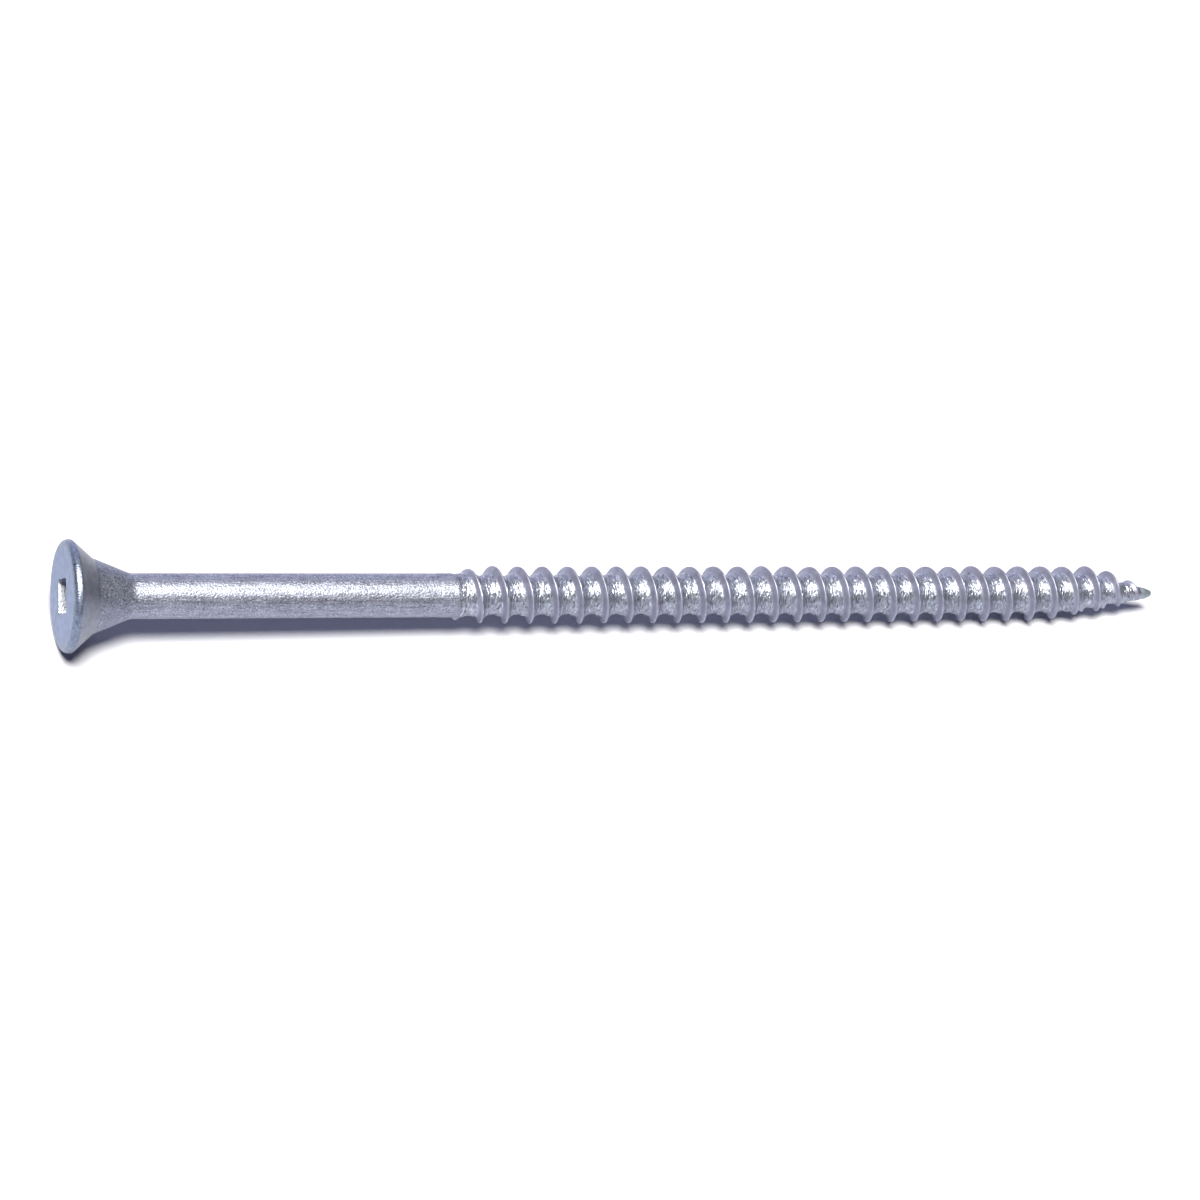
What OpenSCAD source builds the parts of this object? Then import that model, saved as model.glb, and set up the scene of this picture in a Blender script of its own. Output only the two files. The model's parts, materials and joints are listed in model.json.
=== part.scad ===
// Galvanised deck screw, formed in one piece from steel wire: a flat head with a square drive recess,
// a plain shank, a coarse right-hand wood thread and a gimlet point.
// It lies on its side on the plane z = 0, on the rim of its head and on one crest of its thread.
// Lengths are in millimetres. Depths run along the axis from the flat face of the head.

/* [Overall] */
// Length from the flat face of the head to the tip
screw_length = 101.6; // [80:0.1:150]

/* [Head] */
// Diameter over the rim of the head
head_d = 9.47; // [8.5:0.01:12]
// Radius of the rounded edge between the face and the rim
head_edge_r = 0.48; // [0.1:0.02:0.8]
// Width of the straight rim behind the rounded edge
head_rim_w = 0.2; // [0.05:0.05:0.6]
// Included angle of the seat cone under the rim
seat_angle = 82; // [60:1:100]
// Diameter at which the seat cone turns into the neck cone
neck_d = 6.4; // [5:0.05:7.5]
// Included angle of the neck cone, which runs down to the shank
neck_angle = 43; // [25:1:60]

/* [Drive recess] */
// Width across the flats of the square recess at the face
drive_w = 2.9; // [2:0.05:3.2]
// Draft angle of each recess wall
drive_draft = 2; // [0:0.5:6]
// Depth of the recess walls
drive_depth = 2.6; // [1.5:0.1:3]
// Depth of the pyramid at the bottom of the recess
drive_point = 0.6; // [0.2:0.1:1]
// Turn of the recess about the axis
drive_turn = 87; // [0:1:89]

/* [Shank] */
// Diameter of the plain shank
shank_d = 3.8; // [3.7:0.02:4.4]
// Depth at which the shank ends and the thread starts
shank_end = 34.1; // [15:0.1:60]
// Chamfer on the end of the shank
shank_chamfer = 0.1; // [0.02:0.01:0.12]

/* [Thread] */
// Diameter over the thread crests
thread_d = 4.95; // [4.5:0.05:6]
// Diameter of the thread root
root_d = 3.33; // [2.8:0.01:3.4]
// Distance from one crest to the next
thread_pitch = 2.287; // [2:0.001:3.2]
// Width of the flat on a crest
crest_w = 0.14; // [0.06:0.02:0.3]
// Slope of each flank, from square to the axis
flank_angle = 18; // [10:1:26]
// Radius of the fillet between the root and the flank that faces the head
load_fillet_r = 0.95; // [0.2:0.05:1.2]
// Radius of the fillet between the root and the flank that faces the tip
lead_fillet_r = 1.1; // [0.2:0.05:1.3]
// Turns over which the crest rises from the shank to its full height
rise_turns = 1.1; // [0.5:0.1:3]
// Turn of the thread about the axis
thread_turn = 165; // [0:1:359]

/* [Point] */
// Length from the depth where the core starts to taper to the tip
point_length = 8.7; // [5:0.1:14]
// Length from the last crest of full height to the tip
crest_point_length = 6.6; // [4:0.1:12]
// Power by which the crest falls along the point: 1 is straight, more is rounder
crest_fall = 1.6; // [1:0.1:2.5]
// Length of the bare nib beyond the thread
nib_length = 1; // [0.8:0.1:2]
// Length of the steeper cone at the end of the nib
nose_length = 0.75; // [0.3:0.05:0.8]
// Diameter where that cone begins
nose_d = 1.04; // [0.7:0.02:1.2]
// Diameter of the blunt tip
tip_d = 0.6; // [0.2:0.05:0.65]
// Length of the rounding on the tip
tip_length = 0.15; // [0.05:0.05:0.2]

/* [Hidden] */
$fn = 64;

head_r = head_d / 2;
neck_r = neck_d / 2;
shank_r = shank_d / 2;
thread_r = thread_d / 2;
root_r = root_d / 2;
nose_r = nose_d / 2;
tip_r = tip_d / 2;

// Depths of the head's edges, from the face towards the tip.
rim_end = head_edge_r + head_rim_w;
neck_start = rim_end + (head_r - neck_r) / tan(seat_angle / 2);
neck_end = neck_start + (neck_r - shank_r) / tan(neck_angle / 2);

// Depths along the point.
point_start = screw_length - point_length;
crest_start = screw_length - crest_point_length;
thread_end = screw_length - nib_length;
nose_start = screw_length - nose_length;
tip_start = screw_length - tip_length;

// The thread is swept on a helical grid: profile points along the axis, steps round it.
turn_steps = 22;
ridge_h = thread_r - root_r;
fillet_steps = 2;
fillet_sweep = 90 - flank_angle;

// Where a flank would meet the root without a fillet, as a distance from the crest.
flank_foot = crest_w / 2 + ridge_h * tan(flank_angle);
// The two fillets take at most this share of the root between the flanks, and of the ridge's height.
// Where that is too little for their radii, both shrink by the same share.
fillet_room = 0.98;
fillet_reach = tan(fillet_sweep / 2);
fillet_length = (lead_fillet_r + load_fillet_r) * fillet_reach;
fillet_height = max(lead_fillet_r, load_fillet_r) * (1 - cos(fillet_sweep));
root_length = thread_pitch - 2 * flank_foot;
fillet_fit = min(1, fillet_room * root_length / fillet_length, fillet_room * ridge_h / fillet_height);

// Points of the fillet beside a flank, from the flank down to the root, as [distance from the crest, height].
function fillet(radius) =
    let (foot = flank_foot + radius * fillet_reach)
    [
        for (i = [fillet_steps:-1:0])
            let (angle = fillet_sweep * i / fillet_steps)
            [foot - radius * sin(angle), radius * (1 - cos(angle))]
    ];

lead_fillet = fillet(lead_fillet_r * fillet_fit);
load_fillet = fillet(load_fillet_r * fillet_fit);
// One pitch of the profile from crest to crest, as [distance from the crest, height above the root].
thread_profile = concat(
    [[-crest_w / 2, ridge_h], [crest_w / 2, ridge_h]],
    lead_fillet,
    [for (i = [fillet_steps:-1:0]) [thread_pitch - load_fillet[i][0], load_fillet[i][1]]]
);
profile_steps = len(thread_profile);

// The crest that touches the ground is the last one of full height on the underside.
contact_crest = crest_start - thread_pitch * thread_turn / 360;
// The threaded core starts inside the shank, so that the two join over a flat step.
sweep_start = shank_end - thread_pitch / 4;
sweep_end = nose_start;
first_turn = floor((sweep_start - contact_crest) / thread_pitch) - 2;
last_turn = ceil((sweep_end - contact_crest) / thread_pitch) + 1;
row_count = (last_turn - first_turn) * profile_steps;
// A grid point this close to an end of the sweep is taken onto that end's ring.
snap = thread_pitch / 40;

// Height of the crest on the shank's end face, as a share of the full height: most of the way up the step.
step_share = 0.9;
rise_from = step_share * (shank_r - shank_chamfer - root_r) / ridge_h;

// Lying on the ground: the axis dips towards the tip until the rim and the contact crest both touch.
tilt = atan((head_r - thread_r) / (contact_crest + crest_w / 2 - rim_end));
axis_height = head_r * cos(tilt) + rim_end * sin(tilt);
box_left = head_edge_r * (cos(tilt) - 1) - (head_r - head_edge_r) * sin(tilt);
box_right = screw_length * cos(tilt);

function between(v, low, high) = max(low, min(high, v));

// Radius of the core at a depth: even along the thread, then a straight taper down to the nose.
function core_radius(depth) =
    let (share = between((depth - point_start) / (nose_start - point_start), 0, 1))
    root_r + (nose_r - root_r) * share;

// Radius over the crests at a depth: even along the thread, then a curve that meets the core at the nib.
function crest_radius(depth) =
    let (share = between((depth - crest_start) / (thread_end - crest_start), 0, 1))
    thread_r + (core_radius(thread_end) - thread_r) * pow(share, crest_fall);

// Height of the ridge at a depth, as a share of its height along the thread: it rises off the shank,
// and on the point it fills the room between the core and the crests.
function ridge_share(depth) =
    let (rise = between((depth - shank_end) / (rise_turns * thread_pitch), 0, 1))
    let (room = max(0, crest_radius(depth) - core_radius(depth)))
    (rise_from + (1 - rise_from) * rise) * room / ridge_h;

// Depth of a grid point: its place on the profile, moved along the helix by its step round the axis.
function grid_depth(row, step) =
    contact_crest
    + thread_pitch * (first_turn + floor(row / profile_steps) + step / turn_steps)
    + thread_profile[row % profile_steps][0];

function grid_point(row, step) =
    let (depth = grid_depth(row, step))
    let (height = thread_profile[row % profile_steps][1])
    ring_point(core_radius(depth) + height * ridge_share(depth), depth, step);

function ring_point(radius, depth, step) =
    let (angle = 360 * step / turn_steps)
    [radius * cos(angle), radius * sin(angle), depth];

// Places of the three rings and of the two end centres in the list of points, after the grid.
grid_size = row_count * turn_steps;
start_centre = grid_size + 3 * turn_steps;
tip_centre = start_centre + 1;

function start_ring(step) = grid_size + step % turn_steps;
function end_ring(step) = grid_size + turn_steps + step % turn_steps;
function tip_ring(step) = grid_size + 2 * turn_steps + step % turn_steps;

// Place of a grid point in the list. A full turn further round is the same point one pitch on.
function grid_place(row, step) =
    step == turn_steps ? grid_place(row + profile_steps, 0) :
    grid_depth(row, step) < sweep_start + snap ? start_ring(step) :
    grid_depth(row, step) > sweep_end - snap ? end_ring(step) :
    row * turn_steps + step;

function is_triangle(t) = t[0] != t[1] && t[1] != t[2] && t[2] != t[0];

// Head, neck and shank, turned about the axis from one outline of [radius, depth].
module turned_blank() {
    edge_steps = 6;
    rounded_edge = [
        for (i = [0:edge_steps])
            let (angle = 90 * i / edge_steps)
            [
                head_r - head_edge_r * (1 - sin(angle)),
                head_edge_r * (1 - cos(angle))
            ]
    ];
    rotate_extrude()
        polygon(concat(
            [[0, 0]],
            rounded_edge,
            [
                [head_r, rim_end],
                [neck_r, neck_start],
                [shank_r, neck_end],
                [shank_r, shank_end - shank_chamfer],
                [shank_r - shank_chamfer, shank_end],
                [0, shank_end]
            ]
        ));
}

// Square recess: four walls that narrow with the draft, and a shallow pyramid below them.
module drive_recess() {
    over = 0.5;
    mouth_r = (drive_w / 2 + over * tan(drive_draft)) * sqrt(2);
    foot_r = (drive_w / 2 - drive_depth * tan(drive_draft)) * sqrt(2);
    corners = [for (i = [0:3]) [cos(90 * i), sin(90 * i)]];
    points = concat(
        [for (c = corners) [mouth_r * c[0], mouth_r * c[1], -over]],
        [for (c = corners) [foot_r * c[0], foot_r * c[1], drive_depth]],
        [[0, 0, drive_depth + drive_point]]
    );
    apex = len(points) - 1;
    rotate([0, 0, drive_turn])
        polyhedron(points, concat(
            [[0, 1, 2, 3]],
            [for (i = [0:3]) [i, i + 4, (i + 1) % 4 + 4, (i + 1) % 4]],
            [for (i = [0:3]) [i + 4, apex, (i + 1) % 4 + 4]]
        ));
}

// Threaded core and point: one closed surface swept along the helix, closed by a ring and a centre at its
// start, and by the nib's two rings and a centre at the tip.
module threaded_core() {
    grid = [
        for (row = [0:row_count - 1], step = [0:turn_steps - 1])
            grid_point(row, step)
    ];
    rings = concat(
        [for (step = [0:turn_steps - 1]) ring_point(root_r, sweep_start, step)],
        [for (step = [0:turn_steps - 1]) ring_point(nose_r, sweep_end, step)],
        [for (step = [0:turn_steps - 1]) ring_point(tip_r, tip_start, step)]
    );
    centres = [[0, 0, sweep_start], [0, 0, screw_length]];
    last_row = row_count - profile_steps - 2;
    flanks = [
        for (row = [0:last_row], step = [0:turn_steps - 1])
            let (a = grid_place(row, step))
            let (b = grid_place(row, step + 1))
            let (c = grid_place(row + 1, step + 1))
            let (d = grid_place(row + 1, step))
            each [for (t = [[a, c, b], [a, d, c]]) if (is_triangle(t)) t]
    ];
    ends = [
        for (step = [0:turn_steps - 1])
            each [
                [start_centre, start_ring(step), start_ring(step + 1)],
                [end_ring(step), tip_ring(step + 1), end_ring(step + 1)],
                [end_ring(step), tip_ring(step), tip_ring(step + 1)],
                [tip_centre, tip_ring(step + 1), tip_ring(step)]
            ]
    ];
    polyhedron(concat(grid, rings, centres), concat(flanks, ends), convexity = 10);
}

module deck_screw() {
    color([0.62, 0.63, 0.68])
        translate([-(box_left + box_right) / 2, 0, axis_height])
            rotate([0, 90 + tilt, 0])
                union() {
                    difference() {
                        turned_blank();
                        drive_recess();
                    }
                    threaded_core();
                }
}

deck_screw();
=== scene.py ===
import json

import bpy
import numpy as np
from mathutils import Matrix


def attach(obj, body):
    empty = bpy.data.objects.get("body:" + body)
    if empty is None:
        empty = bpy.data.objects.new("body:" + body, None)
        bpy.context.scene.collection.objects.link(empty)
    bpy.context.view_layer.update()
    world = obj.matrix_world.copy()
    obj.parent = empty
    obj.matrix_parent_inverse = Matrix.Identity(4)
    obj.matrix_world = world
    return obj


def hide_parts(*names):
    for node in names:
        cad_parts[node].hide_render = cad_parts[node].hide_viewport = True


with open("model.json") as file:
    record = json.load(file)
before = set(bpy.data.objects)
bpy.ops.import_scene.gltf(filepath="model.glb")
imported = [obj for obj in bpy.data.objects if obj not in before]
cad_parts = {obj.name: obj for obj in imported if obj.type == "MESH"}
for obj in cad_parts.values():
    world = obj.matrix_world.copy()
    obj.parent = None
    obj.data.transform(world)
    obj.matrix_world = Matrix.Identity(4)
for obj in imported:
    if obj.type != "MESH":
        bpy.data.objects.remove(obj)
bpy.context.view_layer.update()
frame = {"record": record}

# The blank of the deck screw: steel wire with a flat countersunk head struck on one end
# and a square recess punched into its face. Under the seat a slimmer cone runs down to
# the plain shank. Dipped in molten zinc, every corner of it comes out a little rounded.

MM = 0.001

SCREW_LENGTH = 101.6 * MM
HEAD_RADIUS = 4.735 * MM
HEAD_EDGE_ROUND = 0.48 * MM
RIM_END = 0.68 * MM
RIM_ROUND = 0.2 * MM
NECK_RADIUS = 3.2 * MM
NECK_START = 2.446 * MM
SEAT_ROUND = 0.6 * MM
NECK_END = 5.71 * MM
NECK_ROUND = 1.6 * MM
SHANK_RADIUS = 1.915 * MM
SHANK_END_RADIUS = 1.885 * MM
SHANK_END = 34.1 * MM
FACE_FLAT_RADIUS = 3.6 * MM

RECESS_WIDTH = 2.9 * MM
RECESS_DRAFT = np.radians(2.0)
RECESS_DEPTH = 2.6 * MM
RECESS_POINT = 0.6 * MM
RECESS_LIP = 0.09 * MM
RECESS_CORNER_POWER = 24
RECESS_TURN = np.radians(87.0)

COLUMNS = 80
HEAD_ROW = 0.14 * MM
SHANK_ROW = 0.19 * MM
JOIN_DEPTH = 32.6 * MM

mounts = {mount["name"]: mount for mount in frame["record"]["mounts"]}
face_centre = np.array(mounts["drive_recess"]["pos_m"])
to_tip = np.array(mounts["plain_shank"]["axis"])
to_tip = to_tip / np.linalg.norm(to_tip)
across = np.array((0.0, 1.0, 0.0))
underside = np.cross(across, to_tip)

column_angle = RECESS_TURN + 2 * np.pi * np.arange(COLUMNS) / COLUMNS


def rounded_outline(corners, rounds, arc_steps):
    """A broken line through the corners, with each inner corner swapped for an arc of steps.

    The arc's centre lies on the corner's bisector, at its radius over the sine of half the
    corner's angle, so that it touches both sides.
    """
    corners = np.array(corners)
    parts = [corners[:1]]
    neighbours = zip(corners, corners[1:], corners[2:])
    for (before, corner, after), radius, steps in zip(neighbours, rounds, arc_steps):
        back = (before - corner) / np.linalg.norm(before - corner)
        ahead = (after - corner) / np.linalg.norm(after - corner)
        half = np.arccos(np.clip(back @ ahead, -1, 1)) / 2
        middle = (back + ahead) / np.linalg.norm(back + ahead)
        chord = (ahead - back) / np.linalg.norm(ahead - back)
        swing = np.linspace(half - np.pi / 2, np.pi / 2 - half, steps + 1)[:, None]
        centre = corner + middle * radius / np.sin(half)
        parts.append(centre + radius * (np.sin(swing) * chord - np.cos(swing) * middle))
    parts.append(corners[-1:])
    return np.concatenate(parts)


def spaced(outline, longest):
    """The outline with each straight part cut into equal steps no longer than longest."""
    lengths = np.linalg.norm(np.diff(outline, axis=0), axis=1)
    steps = np.maximum(1, np.ceil(lengths / longest)).astype(int)
    place = np.concatenate([k + np.arange(n) / n for k, n in enumerate(steps)] + [[len(steps)]])
    order = np.arange(len(outline))
    return np.stack([np.interp(place, order, values) for values in outline.T], axis=1)


def square_radius(half_width):
    """Distance from the axis to a square with rounded corners, at each column.

    The half width over the length of (cosine, sine) of the column's angle, measured in a
    norm of high power, with the corners of the square at the recess's turn.
    """
    turned = column_angle - RECESS_TURN - np.pi / 4
    shares = np.abs(np.stack([np.cos(turned), np.sin(turned)])) ** RECESS_CORNER_POWER
    return np.asarray(half_width)[:, None] * shares.sum(axis=0) ** (-1 / RECESS_CORNER_POWER)


def recess_rows():
    """Radius and depth of the rows from the bottom of the recess out to the flat face.

    A low pyramid, walls that open by the draft, a quarter round at the lip, and then the
    face, over which the square turns into a circle in even shares.
    """
    mouth = RECESS_WIDTH / 2
    foot = mouth - RECESS_DEPTH * np.tan(RECESS_DRAFT)
    share = np.linspace(0, 1, 7)[1:]
    rise = np.linspace(0, 1, 13)[1:]
    swing = np.linspace(0, np.pi / 2, 6)[1:]
    half_width = np.concatenate([
        foot * share,
        foot + (mouth - foot) * rise,
        mouth + RECESS_LIP * (1 - np.cos(swing)),
    ])
    depth = np.concatenate([
        RECESS_DEPTH + RECESS_POINT * (1 - share),
        RECESS_DEPTH + (RECESS_LIP - RECESS_DEPTH) * rise,
        RECESS_LIP * (1 - np.sin(swing)),
    ])
    inner = square_radius(half_width)
    outward = np.linspace(0, 1, 10)[1:, None]
    face = inner[-1:] * (1 - outward) + FACE_FLAT_RADIUS * outward
    depth = np.concatenate([depth, np.zeros(len(face))])
    return np.concatenate([inner, face]), np.repeat(depth[:, None], COLUMNS, axis=1)


def head_rows():
    """Radius and depth of the turned rows from the flat face to the join on the shank."""
    corners = [
        (FACE_FLAT_RADIUS, 0.0),
        (HEAD_RADIUS, 0.0),
        (HEAD_RADIUS, RIM_END),
        (NECK_RADIUS, NECK_START),
        (SHANK_RADIUS, NECK_END),
        (SHANK_END_RADIUS, JOIN_DEPTH),
    ]
    rounds = (HEAD_EDGE_ROUND, RIM_ROUND, SEAT_ROUND, NECK_ROUND)
    outline = rounded_outline(corners, rounds, (9, 5, 5, 7))
    head = spaced(outline[:-1], HEAD_ROW)[1:]
    shank = spaced(outline[-2:], SHANK_ROW)[1:]
    turned = np.concatenate([head, shank]).T
    return [np.repeat(values[:, None], COLUMNS, axis=1) for values in turned]


# The wood thread: one ridge rolled up out of the same wire on a right-hand helix, coarse
# and thin, with a wide hollow on the side that faces the tip. It starts where the shank
# ends and dies out on the point, which is drawn down to a blunt nib.

THREAD_RADIUS = 2.475 * MM
ROOT_RADIUS = 1.665 * MM
RIDGE_HEIGHT = THREAD_RADIUS - ROOT_RADIUS
PITCH = 2.287 * MM
CREST_WIDTH = 0.14 * MM
CREST_ROUND = 0.06 * MM
FLANK_ANGLE = np.radians(18.0)
TIP_SIDE_FILLET = 1.1 * MM
TIP_SIDE_END = 1.2 * MM
LAND_START = 0.95 * MM
LAND_EDGE = 0.82 * MM
LAND_EDGE_HEIGHT = 0.11 * MM
LAND_END = 0.34 * MM
LAND_END_HEIGHT = 0.18 * MM
LAND_ROUNDS = (0.12 * MM, 0.12 * MM, 0.3 * MM)
UNDER_CREST = 93.952 * MM
RUNOUT_RADIUS = 1.86 * MM
RUNOUT_TURNS = 1.3
RISE_START = 33.65 * MM
RISE_TURNS = 1.75
STEP_LENGTH = 0.4 * MM
STEP_BLEND = 0.05 * MM

POINT_START = 92.9 * MM
CREST_FALL_START = 95.0 * MM
CREST_FALL = 1.6
RIDGE_END = 100.6 * MM
NOSE_START = 100.85 * MM
NOSE_RADIUS = 0.52 * MM
TIP_START = 101.45 * MM
TIP_RADIUS = 0.3 * MM
TIP_ROWS = 5
OFF_CENTRE = 0.36 * MM
OFF_CENTRE_RISE = (89.5 * MM, 95.5 * MM)
OFF_CENTRE_FALL = (96.5 * MM, 101.0 * MM)
CORE_SHIFT = 0.1 * MM
CORE_SHIFT_RISE = (84.0 * MM, 95.0 * MM)
CORE_SHIFT_FALL = (98.0 * MM, NOSE_START)
HIGH_SIDE = np.radians(135.5)

PROFILE_ROW = 0.22 * MM


def ridge_outline():
    """One pitch of the ridge: distance along the axis from the crest, and height.

    A narrow flat crest with rounded edges. The flank on the tip's side runs out in one wide
    round. The one on the head's side is steep, and stands on a low land with a soft edge.
    """
    half = CREST_WIDTH / 2
    foot = half + RIDGE_HEIGHT * np.tan(FLANK_ANGLE)
    corners = [
        (TIP_SIDE_END - PITCH, 0.0),
        (-LAND_START, 0.0),
        (-LAND_EDGE, LAND_EDGE_HEIGHT),
        (-LAND_END, LAND_END_HEIGHT),
        (-half, RIDGE_HEIGHT),
        (half, RIDGE_HEIGHT),
        (foot, 0.0),
        (TIP_SIDE_END, 0.0),
    ]
    rounds = (*LAND_ROUNDS, CREST_ROUND, CREST_ROUND, TIP_SIDE_FILLET)
    return spaced(rounded_outline(corners, rounds, (2, 2, 3, 2, 2, 5)), PROFILE_ROW)[:-1].T


def smooth_step(value, low, high):
    """0 below low and 1 above high, with a smooth climb between them."""
    share = np.clip((value - low) / (high - low), 0, 1)
    return share * share * (3 - 2 * share)


def band(value, rise, fall):
    """1 from the end of the rise to the start of the fall and 0 outside, smooth over both."""
    return smooth_step(value, *rise) * (1 - smooth_step(value, *fall))


def thread_radius(depth, height):
    """Distance from the axis at a depth, where the ridge's full profile has that height.

    The core is the root, which sinks away from the shank over the first turn and is drawn
    down in a straight taper to the nose. The crest falls to the core along the point by a
    power of the share of its length. Both lie off centre there: the core by its shift times
    the cosine of the angle from the high side, the crest lower by its offset times one less
    that cosine. The ridge fills its share of the room between them, with a climb that slows
    over the first turns. The larger of that and the shank counts, with the corner between
    them blended: half of their sum plus the root of their squared difference and the blend
    squared.
    """
    taper = np.clip((depth - POINT_START) / (NOSE_START - POINT_START), 0, 1)
    runout = 1 - smooth_step(depth, SHANK_END, SHANK_END + RUNOUT_TURNS * PITCH)
    core = ROOT_RADIUS + (NOSE_RADIUS - ROOT_RADIUS) * taper
    core = core + (RUNOUT_RADIUS - ROOT_RADIUS) * runout
    fall = np.clip((depth - CREST_FALL_START) / (RIDGE_END - CREST_FALL_START), 0, 1)
    crest = THREAD_RADIUS + (NOSE_RADIUS - THREAD_RADIUS) * fall ** CREST_FALL
    lean = np.cos(column_angle - HIGH_SIDE)
    core = core + CORE_SHIFT * lean * band(depth, CORE_SHIFT_RISE, CORE_SHIFT_FALL)
    crest = crest - OFF_CENTRE * (1 - lean) * band(depth, OFF_CENTRE_RISE, OFF_CENTRE_FALL)
    climb = 1 - (1 - np.clip((depth - RISE_START) / (RISE_TURNS * PITCH), 0, 1)) ** 2
    ridge = core + np.maximum(crest - core, 0) * climb * height / RIDGE_HEIGHT
    past_step = smooth_step(depth, SHANK_END - STEP_LENGTH / 2, SHANK_END + STEP_LENGTH / 2)
    shank = SHANK_END_RADIUS * (1 - past_step)
    return (ridge + shank + np.sqrt((ridge - shank) ** 2 + STEP_BLEND ** 2)) / 2


def nose_rows():
    """Radius and depth of the nib's rings: a cone, and a quarter of an ellipse on its end."""
    cone = np.linspace(0, 1, 5)[:-1]
    swing = np.linspace(0, np.pi / 2, TIP_ROWS + 1)[:-1]
    radius = np.concatenate([
        NOSE_RADIUS + (TIP_RADIUS - NOSE_RADIUS) * cone,
        TIP_RADIUS * np.cos(swing),
    ])
    depth = np.concatenate([
        NOSE_START + (TIP_START - NOSE_START) * cone,
        TIP_START + (SCREW_LENGTH - TIP_START) * np.sin(swing),
    ])
    return [np.repeat(values[:, None], COLUMNS, axis=1) for values in (radius, depth)]


def thread_rows():
    """Depth of the rows that follow the helix from the join to the nose, and their profile.

    Each row is one point of the ridge's profile carried along the helix: its depth grows
    by a pitch in a full turn of the columns.
    """
    along, height = ridge_outline()
    first = int(np.floor((JOIN_DEPTH - UNDER_CREST) / PITCH)) - 2
    last = int(np.ceil((NOSE_START - UNDER_CREST) / PITCH)) + 1
    crest = UNDER_CREST + PITCH * np.arange(first, last)
    start = (crest[:, None] + along[None, :]).ravel()
    depth = start[:, None] + PITCH * column_angle[None, :] / (2 * np.pi)
    height, along = (
        np.repeat(np.tile(row, len(crest))[:, None], COLUMNS, axis=1) for row in (height, along)
    )
    return depth, height, along


def grid_triangles(index):
    """Two triangles for each cell of a grid of vertex numbers, without the collapsed ones."""
    a, b, c, d = index[:-1, :-1], index[:-1, 1:], index[1:, 1:], index[1:, :-1]
    triangles = np.concatenate([
        np.stack([a, b, c], axis=-1).reshape(-1, 3),
        np.stack([a, c, d], axis=-1).reshape(-1, 3),
    ])
    kept = (
        (triangles[:, 0] != triangles[:, 1])
        & (triangles[:, 1] != triangles[:, 2])
        & (triangles[:, 2] != triangles[:, 0])
    )
    return triangles[kept]


def screw_surface():
    """Radius, angle, depth and place on the ridge of every point, and the triangles.

    Rings run from the bottom of the recess to the join on the shank, and helical rows from
    there to a ring at the nose. A helical point outside the two rings stands on the ring's
    own point in its column, so that both ends close on whole rings.
    """
    rings = [np.concatenate(rows) for rows in zip(recess_rows(), head_rows())]
    helix_depth, height, along = thread_rows()
    rows_per_turn = ridge_outline().shape[1]
    helix_radius = thread_radius(helix_depth, height)
    nose = nose_rows()

    ring_rows, helix_rows, nib_rows = len(rings[0]), len(helix_depth), len(nose[0])
    column = np.arange(COLUMNS)
    ring_index = column + COLUMNS * np.arange(ring_rows)[:, None]
    helix_index = column + COLUMNS * (ring_rows + np.arange(helix_rows)[:, None])
    nose_index = column + COLUMNS * (ring_rows + helix_rows + np.arange(nib_rows)[:, None])
    recess_pole = COLUMNS * (ring_rows + helix_rows + nib_rows)
    tip_pole = recess_pole + 1

    snap = PROFILE_ROW / 4
    helix_index = np.where(helix_depth < JOIN_DEPTH + snap, ring_index[-1], helix_index)
    helix_index = np.where(helix_depth > NOSE_START - snap, nose_index[0], helix_index)
    next_turn = helix_index[rows_per_turn:, :1]
    helix_grid = np.concatenate([helix_index[:-rows_per_turn], next_turn], axis=1)

    def closed(index):
        """Rows of vertex numbers with the first column once more at their end."""
        return np.concatenate([index, index[:, :1]], axis=1)

    pole_row = np.full((1, COLUMNS), recess_pole)
    tip_row = np.full((1, COLUMNS), tip_pole)
    triangles = np.concatenate([
        grid_triangles(closed(np.concatenate([pole_row, ring_index]))),
        grid_triangles(helix_grid),
        grid_triangles(closed(np.concatenate([nose_index, tip_row]))),
    ])
    radius = np.concatenate([rings[0].ravel(), helix_radius.ravel(), nose[0].ravel(), [0, 0]])
    depth = np.concatenate([
        rings[1].ravel(),
        helix_depth.ravel(),
        nose[1].ravel(),
        [RECESS_DEPTH + RECESS_POINT, SCREW_LENGTH],
    ])
    ring_points, nib_points = rings[0].size, nose[0].size + 2
    ridge, beside = (
        np.concatenate([np.full(ring_points, rest), values.ravel(), np.full(nib_points, rest)])
        for values, rest in ((height / RIDGE_HEIGHT, 0), (along, TIP_SIDE_END))
    )
    angle = np.concatenate([np.tile(column_angle, ring_rows + helix_rows + nib_rows), [0, 0]])
    used, triangles = np.unique(triangles, return_inverse=True)
    values = [value[used] for value in (radius, angle, depth, ridge, beside)]
    return *values, triangles.reshape(-1, 3)


radius, angle, depth, ridge, beside, triangles = screw_surface()
points = (
    face_centre
    + (radius * np.cos(angle))[:, None] * underside
    + (radius * np.sin(angle))[:, None] * across
    + depth[:, None] * to_tip
)


# The zinc coat: hot-dip galvanizing, which sets in a skin of fine grains with runs and
# drops at the edges. It is thick and grainy on the shank and in the roots, thin and
# smooth on the head's face and on the rolled flanks of the ridge.

LUMP_SIZE = 0.5 * MM
LUMP_HEIGHT = 0.0028 * MM
WOBBLE_SIZE = 1.6 * MM
WOBBLE_HEIGHT = 0.016 * MM
WAVES = 40
SEED = 11

PLACED_DROP_DEPTHS = (94.47, 96.65, 98.9, 34.35)
PLACED_DROP_TURNS = np.radians((-44, -46, -40, -42))
PLACED_DROP_SIZES = (0.24, 0.22, 0.2, 0.25)
PLACED_DROP_HEIGHTS = (0.3, 0.36, 0.16, 0.1)
DROPS = 46
DROP_DEPTHS = (36, 96)
DROP_SIZES = (0.14, 0.26)
DROP_HEIGHTS = (0.02, 0.07)


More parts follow.
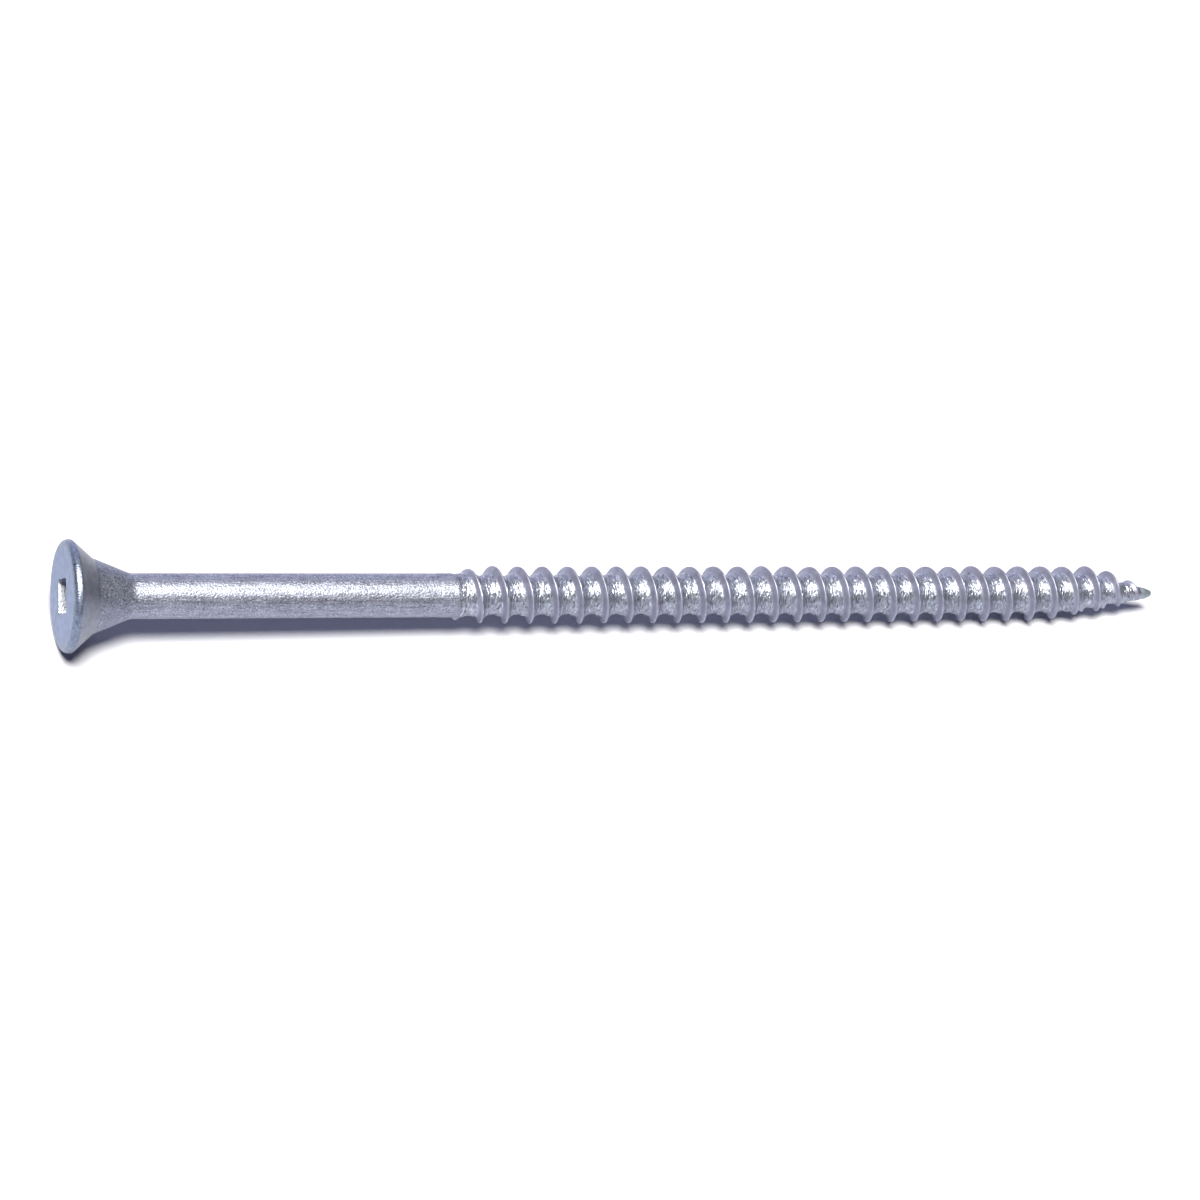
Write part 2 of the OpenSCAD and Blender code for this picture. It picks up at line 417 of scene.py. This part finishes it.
def vertex_normals(points, triangles):
    """Unit normals: the cross products of the triangles' sides, summed at their corners."""
    a, b, c = (points[triangles[:, k]] for k in range(3))
    cross = np.cross(b - a, c - a)
    normals = np.zeros_like(points)
    for corner in range(3):
        np.add.at(normals, triangles[:, corner], cross)
    return normals / np.linalg.norm(normals, axis=1, keepdims=True)


def lumps(points, size, seed):
    """A random field with lumps of about that size, most of it between -2 and 2.

    A sum of cosine waves with seeded directions and phases, and wavelengths from two
    thirds to one and a half of twice the size, over the root of half their number.
    """
    rng = np.random.default_rng(seed)
    direction = rng.normal(size=(WAVES, 3))
    direction /= np.linalg.norm(direction, axis=1, keepdims=True)
    wavelength = 2 * size * rng.uniform(0.67, 1.5, WAVES)
    phase = rng.uniform(0, 2 * np.pi, WAVES)
    waves = np.cos(points @ (direction / wavelength[:, None]).T * 2 * np.pi + phase)
    return waves.sum(axis=1) / np.sqrt(WAVES / 2)


def drops():
    """Height of the set drops of zinc at each point, the largest of them counting.

    Each drop is its height times the exponential of minus the squared distance over its
    squared size, with the distance taken along the axis and round it. The first few hang
    on the point and under the thread's start, and the others have seeded places.
    """
    rng = np.random.default_rng(SEED)
    place = np.concatenate([PLACED_DROP_DEPTHS, rng.uniform(*DROP_DEPTHS, DROPS)]) * MM
    turn = np.concatenate([PLACED_DROP_TURNS, rng.uniform(0, 2 * np.pi, DROPS)])
    size = np.concatenate([PLACED_DROP_SIZES, rng.uniform(*DROP_SIZES, DROPS)]) * MM
    height = np.concatenate([PLACED_DROP_HEIGHTS, rng.uniform(*DROP_HEIGHTS, DROPS)]) * MM
    total = np.zeros(len(depth))
    for k in range(len(place)):
        swing = (angle - turn[k] + np.pi) % (2 * np.pi) - np.pi
        squared = (depth - place[k]) ** 2 + (radius * swing) ** 2
        total = np.maximum(total, height[k] * np.exp(-squared / size[k] ** 2))
    return total


# Where each zone of the coat fades in and out: across the ridge from the crest, along the
# axis from the face, or out from the axis.
FLANK_RISE = (-0.44 * MM, -0.34 * MM)
FLANK_FALL = (0.05 * MM, 0.1 * MM)
CREST_LINE_RISE = (-0.04 * MM, 0.04 * MM)
CREST_LINE_FALL = (0.1 * MM, 0.16 * MM)
CREST_BREAK_SIZE = 0.42 * MM
CREST_BREAK_FADE = (-0.5, 0.5)
FACE_FALL = (0.0, 0.12 * MM)
RIM_RISE = (3.7 * MM, 4.35 * MM)
SEAT_RISE = (0.4 * MM, 0.9 * MM)
NECK_RISE = (2.3 * MM, 2.7 * MM)
NECK_INNER = SHANK_RADIUS - 0.1 * MM
DRAWN_RISE = (4.0 * MM, 6.0 * MM)
SHANK_RISE = (5.0 * MM, 6.2 * MM)
THREAD_RISE = (SHANK_END - 0.3 * MM, SHANK_END + 0.3 * MM)
NIB_RISE = (99.9 * MM, 100.7 * MM)

on_thread = smooth_step(depth, *THREAD_RISE)
on_flank = band(beside, FLANK_RISE, FLANK_FALL) * on_thread
crest_breaks = smooth_step(lumps(points, CREST_BREAK_SIZE, SEED + 2), *CREST_BREAK_FADE)
on_crest = band(beside, CREST_LINE_RISE, CREST_LINE_FALL) * crest_breaks * on_thread

# Red, green and blue of the zinc in each zone, how grainy it is, and its roughness.
# The recess's zinc is made far brighter than the rest so that its lit wall reads white: painted
# light.
RECESS_COAT_PAINTED_LIGHT = (0.37, 0.4, 0.47, 0.2, 0.4)
FACE_COAT = (0.192, 0.24, 0.365, 0.13, 0.5)
RIM_COAT = (0.165, 0.2, 0.285, 0.24, 0.41)
# The seat and the neck under the head are darker than the shank.
SEAT_COAT = (0.18, 0.192, 0.24, 0.11, 0.4)
NECK_COAT = (0.188, 0.206, 0.266, 0.28, 0.51)
SHANK_COAT = (0.234, 0.25, 0.32, 0.275, 0.49)
ROOT_COAT = (0.265, 0.285, 0.352, 1.0, 0.42)
FLANK_COAT = (0.28, 0.29, 0.385, 0.09, 0.58)
CREST_COAT = (0.27, 0.28, 0.345, 1.0, 0.36)
NIB_COAT = (0.27, 0.315, 0.36, 0.11, 0.56)


def zone_coats():
    """Colour, grain and roughness at each point, with each zone faded over the last one."""
    coat = np.tile(RECESS_COAT_PAINTED_LIGHT, (len(depth), 1))
    for zone, share in (
        (FACE_COAT, 1 - smooth_step(depth, *FACE_FALL)),
        (RIM_COAT, smooth_step(radius, *RIM_RISE)),
        (SEAT_COAT, smooth_step(depth, *SEAT_RISE) * (radius > RECESS_WIDTH)),
        (NECK_COAT, smooth_step(depth, *NECK_RISE) * (radius > NECK_INNER)),
        (SHANK_COAT, smooth_step(depth, *SHANK_RISE)),
        (ROOT_COAT, on_thread),
        (FLANK_COAT, on_flank),
        (CREST_COAT, on_crest),
        (NIB_COAT, smooth_step(depth, *NIB_RISE)),
    ):
        coat = coat + (np.array(zone) - coat) * share[:, None]
    return coat


coat = zone_coats()
grain = coat[:, 3]
tone = coat[:, (0, 1, 2, 4)]
points = points + vertex_normals(points, triangles) * (
    LUMP_HEIGHT * grain * lumps(points, LUMP_SIZE, SEED)
    + WOBBLE_HEIGHT * ridge * on_thread * lumps(points, WOBBLE_SIZE, SEED + 1)
    + drops()
)[:, None]

# Scales of the grain along the axis and round it: on the drawn wire and on the rolled thread.
DRAWN_SCALE = np.array((1.2, 1.5))
ROLLED_SCALE = np.array((1.45, 0.5))

skin_scale = DRAWN_SCALE + (ROLLED_SCALE - DRAWN_SCALE) * on_thread[:, None]
skin = np.column_stack([
    depth * skin_scale[:, 0],
    radius * np.cos(angle) * skin_scale[:, 1],
    radius * np.sin(angle) * skin_scale[:, 1],
])

mesh = bpy.data.meshes.new("deck_screw_zinc")
mesh.from_pydata(points, [], triangles.tolist())
mesh.polygons.foreach_set("use_smooth", np.ones(len(triangles), dtype=bool))
for name, kind, field, values in (
    ("grain", "FLOAT", "value", grain),
    ("drawn", "FLOAT", "value", smooth_step(depth, *DRAWN_RISE) * (1 - on_thread)),
    ("skin", "FLOAT_VECTOR", "vector", skin),
    ("tone", "FLOAT_COLOR", "color", tone),
):
    attribute = mesh.attributes.new(name, kind, "POINT")
    attribute.data.foreach_set(field, values.astype(np.float32).ravel())
mesh.update()
screw = bpy.data.objects.new("galvanized_screw", mesh)
bpy.context.collection.objects.link(screw)

METAL_SHARE = 0.92
FINE_SCALE = 4900
FACET_SCALE = 4700
FACET_DEPTH = 0.085 * MM
PATCH_SCALE = 1500
PATCH_SHADE = (0.86, 1.14)
LINE_SCALE = 4600
LINE_STRETCH = (0.05, 1, 1)
LINE_SHADE = (-0.16, 0.13)
FLECK_SHADE = (-0.86, 1)
FLECK_POWER = 3
FLECK_SHARE = (0, 0.85)
FLECK_GRAIN = (0.08, 0.3)
UNEVEN_ROUGHNESS = (-0.04, 0.04)


def zinc_material():
    """Galvanized zinc: metal in the tone of its zone, with patches, flecks, streaks and facets.

    The tone is scaled by a sum of three shades: soft patches, a noise on Object coordinates;
    flecks, the cube of a fine noise on the skin coordinates times a share that grows with the
    grain; and streaks, a noise stretched along the axis, on the drawn wire alone. The
    roughness is the tone's last channel, slightly uneven. A plainer noise on the skin tilts
    the surface into facets, as strongly as the grain says.
    """
    material = bpy.data.materials.new("galvanized_zinc")
    material.use_nodes = True
    nodes, links = material.node_tree.nodes, material.node_tree.links
    shader = nodes["Principled BSDF"]
    shader.inputs["Metallic"].default_value = METAL_SHARE

    def add(kind, settings, inputs):
        """A node of that kind with its settings, and its inputs set or linked."""
        node = nodes.new("ShaderNode" + kind)
        for name, value in settings.items():
            setattr(node, name, value)
        for name, value in inputs.items():
            if isinstance(value, bpy.types.NodeSocket):
                links.new(value, node.inputs[name])
            else:
                node.inputs[name].default_value = value
        return node

    def attribute_of(name):
        """The node that reads that attribute of the mesh."""
        return add("Attribute", {"attribute_name": name}, {})

    def noise(vector, scale, detail, roughness=0.5):
        """A noise on that vector."""
        return add("TexNoise", {}, {
            "Vector": vector, "Scale": scale, "Detail": detail, "Roughness": roughness,
        }).outputs["Fac"]

    def spread(source, low, high, from_low=0.3, from_high=0.7):
        """The source's range taken to the span from low to high."""
        return add("MapRange", {}, {
            "Value": source, "From Min": from_low, "From Max": from_high,
            "To Min": low, "To Max": high,
        }).outputs["Result"]

    def combined(operation, first, second):
        """Two values put together by that operation."""
        return add("Math", {"operation": operation}, {0: first, 1: second}).outputs[0]

    grain_value = attribute_of("grain").outputs["Fac"]
    drawn_value = attribute_of("drawn").outputs["Fac"]
    skin_vector = attribute_of("skin").outputs["Vector"]
    tone_value = attribute_of("tone")
    place = add("TexCoord", {}, {}).outputs["Object"]
    stretched = add("Mapping", {}, {"Vector": skin_vector, "Scale": LINE_STRETCH})

    fine = noise(skin_vector, FINE_SCALE, 4, 0.62)
    facets = noise(skin_vector, FACET_SCALE, 1.2, 0.4)
    patch = noise(place, PATCH_SCALE, 2)
    lines = noise(stretched.outputs["Vector"], LINE_SCALE, 2)

    specks = combined("POWER", spread(fine, *FLECK_SHADE, 0.37, 0.63), FLECK_POWER)
    flecks = combined("MULTIPLY", specks, spread(grain_value, *FLECK_SHARE, *FLECK_GRAIN))
    streaks = combined("MULTIPLY", spread(lines, *LINE_SHADE, 0.38, 0.62), drawn_value)
    shade = combined("ADD", combined("ADD", flecks, streaks), spread(patch, *PATCH_SHADE))
    colour = add("VectorMath", {"operation": "SCALE"}, {
        "Vector": tone_value.outputs["Color"], "Scale": shade,
    })
    dull = combined("ADD", tone_value.outputs["Alpha"], spread(fine, *UNEVEN_ROUGHNESS))
    bumps = add("Bump", {}, {
        "Strength": grain_value, "Distance": FACET_DEPTH, "Height": spread(facets, 0, 1, 0.2, 0.8),
    })
    links.new(colour.outputs["Vector"], shader.inputs["Base Color"])
    links.new(dull, shader.inputs["Roughness"])
    links.new(bumps.outputs["Normal"], shader.inputs["Normal"])
    return material


mesh.materials.append(zinc_material())
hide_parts("deck_screw")
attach(screw, "root")


# The floor: a wide sheet of plain pale card under the screw, slightly blue. It lies loose
# on the ground, and the key light takes it just past white.

FLOOR_HALF = 3.0
FLOOR_COLOUR = (0.45, 0.464, 0.532, 1)
FLOOR_ROUGHNESS = 0.9

floor_corners = FLOOR_HALF * np.array([(-1, -1, 0), (1, -1, 0), (1, 1, 0), (-1, 1, 0)])
floor_mesh = bpy.data.meshes.new("white_card")
floor_mesh.from_pydata(floor_corners, [], [(0, 1, 2, 3)])
floor = bpy.data.objects.new("white_card", floor_mesh)
bpy.context.collection.objects.link(floor)
card = bpy.data.materials.new("white_card")
card.use_nodes = True
card_shader = card.node_tree.nodes["Principled BSDF"]
card_shader.inputs["Base Color"].default_value = FLOOR_COLOUR
card_shader.inputs["Roughness"].default_value = FLOOR_ROUGHNESS
card_shader.inputs["Specular IOR Level"].default_value = 0.0
floor_mesh.materials.append(card)


# The camera: a long lens in front of the screw and above it, on the head's side, so that
# the face shows as a narrow ellipse.

CAMERA_DISTANCE = 345.3 * MM
CAMERA_SWING = np.radians(20.913)
CAMERA_RISE = np.radians(44.5)
CAMERA_AIM_DEPTH = 47.57 * MM
CAMERA_DROP = 0.45 * MM
CAMERA_ROLL = 0.0032
LENS_MM = 119.26
SENSOR_MM = 36

above = -underside
to_viewer = -np.cos(CAMERA_RISE) * across + np.sin(CAMERA_RISE) * above
image_up = np.sin(CAMERA_RISE) * across + np.cos(CAMERA_RISE) * above
backward = -np.sin(CAMERA_SWING) * to_tip + np.cos(CAMERA_SWING) * to_viewer
image_right = np.cos(CAMERA_SWING) * to_tip + np.sin(CAMERA_SWING) * to_viewer
rolled_right = image_right * np.cos(CAMERA_ROLL) - image_up * np.sin(CAMERA_ROLL)
rolled_up = image_up * np.cos(CAMERA_ROLL) + image_right * np.sin(CAMERA_ROLL)
eye = face_centre + CAMERA_AIM_DEPTH * to_tip - CAMERA_DROP * image_up + CAMERA_DISTANCE * backward
camera_data = bpy.data.cameras.new("camera")
camera_data.lens = LENS_MM
camera_data.sensor_width = SENSOR_MM
camera_data.clip_start = 0.01
camera = bpy.data.objects.new("camera", camera_data)
camera.matrix_world = Matrix(np.vstack([
    np.column_stack([rolled_right, rolled_up, backward, eye]),
    (0, 0, 0, 1),
]).tolist())
bpy.context.collection.objects.link(camera)
bpy.context.scene.camera = camera


# The light: a large round warm lamp high above the near side, towards the head. A tall pale
# panel stands upright behind the screw and lights the top of its outline, and the room round
# them is dim and bluish.

KEY_RISE = np.radians(74.0)
KEY_LEAN = np.radians(-12.0)
KEY_DISTANCE = 1.2
KEY_SIZE = 0.58
KEY_POWER = 49.0
KEY_COLOUR = (1.0, 0.96, 0.84)

to_key = np.cos(KEY_RISE) * -across + np.sin(KEY_RISE) * above
to_key = np.cos(KEY_LEAN) * to_key + np.sin(KEY_LEAN) * to_tip
key_data = bpy.data.lights.new("key", "AREA")
key_data.shape = "DISK"
key_data.size = KEY_SIZE
key_data.energy = KEY_POWER
key_data.color = KEY_COLOUR
key = bpy.data.objects.new("key", key_data)
key_side = np.cross(across, to_key) / np.linalg.norm(np.cross(across, to_key))
key.matrix_world = Matrix(np.vstack([
    np.column_stack([key_side, np.cross(to_key, key_side), to_key, KEY_DISTANCE * to_key]),
    (0, 0, 0, 1),
]).tolist())
bpy.context.collection.objects.link(key)

PANEL_POWER = 7.0
PANEL_COLOUR = (0.72, 0.74, 1.0)
PANEL_WIDTH = 1.6
PANEL_HEIGHT = 1.3
PANEL_DISTANCE = 0.9

panel_data = bpy.data.lights.new("back_panel", "AREA")
panel_data.shape = "RECTANGLE"
panel_data.size = PANEL_WIDTH
panel_data.size_y = PANEL_HEIGHT
panel_data.energy = PANEL_POWER
panel_data.color = PANEL_COLOUR
panel = bpy.data.objects.new("back_panel", panel_data)
panel.location = (0, PANEL_DISTANCE, PANEL_HEIGHT / 2)
panel.rotation_euler = (-np.pi / 2, 0, 0)
bpy.context.collection.objects.link(panel)

ROOM_COLOUR = (0.62, 0.58, 1.0, 1)
ROOM_STRENGTH = 0.1

world = bpy.data.worlds.new("room")
world.use_nodes = True
room = world.node_tree.nodes["Background"]
room.inputs["Color"].default_value = ROOM_COLOUR
room.inputs["Strength"].default_value = ROOM_STRENGTH
bpy.context.scene.world = world
bpy.context.scene.view_settings.view_transform = "Standard"
